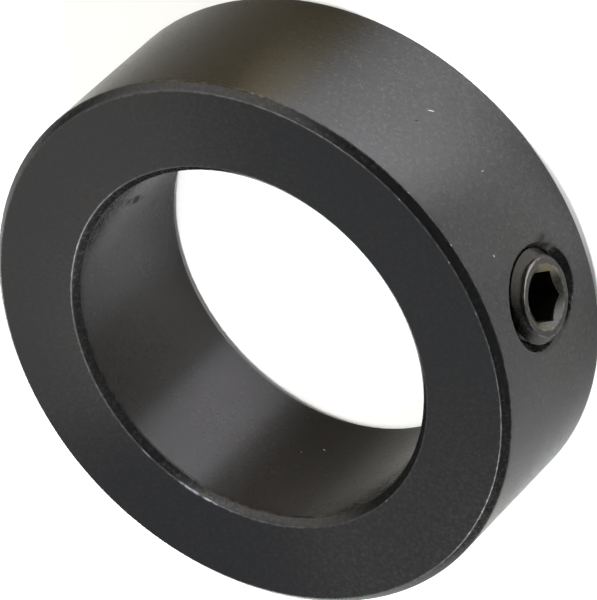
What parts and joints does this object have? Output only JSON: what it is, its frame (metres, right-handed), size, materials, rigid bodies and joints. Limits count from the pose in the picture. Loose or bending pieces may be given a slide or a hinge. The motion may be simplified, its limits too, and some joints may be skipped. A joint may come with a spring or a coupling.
{
  "type": "shaft collar",
  "caption": "One-piece set screw shaft collar: a chamfered steel ring with a socket set screw threaded radially through its wall to lock on a shaft.",
  "frame": {"origin": "centre of the bore, in the plane of the end face that the collar lies on", "axes": "+Z along the bore, up through the collar; +X outward along the set screw; +Y completes a right-handed frame"},
  "size_m": [0.0576, 0.0572, 0.0191],
  "materials": {
    "collar_steel": "black oxide, satin",
    "screw_steel": "black oxide, lightly oiled"
  },
  "bodies": {
    "collar": {"collar_body": "collar_steel"},
    "screw_point": {"set_screw_cup_point": "screw_steel"},
    "screw": {"set_screw": "screw_steel"}
  },
  "joints": [
    {"name": "screw_advance", "type": "slide", "parent": "collar", "child": "screw_point", "axis": [1, 0, 0], "range_m": [-0.00075, 0.00476]},
    {"name": "screw_turn", "type": "hinge", "parent": "screw_point", "child": "screw", "pos_m": [0.02, 0, 0.00953], "axis": [1, 0, 0], "range_deg": [-170, 1080]}
  ],
  "couplings": [
    {"joint": "screw_turn", "follows": "screw_advance", "rad_per_m": 3957.9}
  ]
}
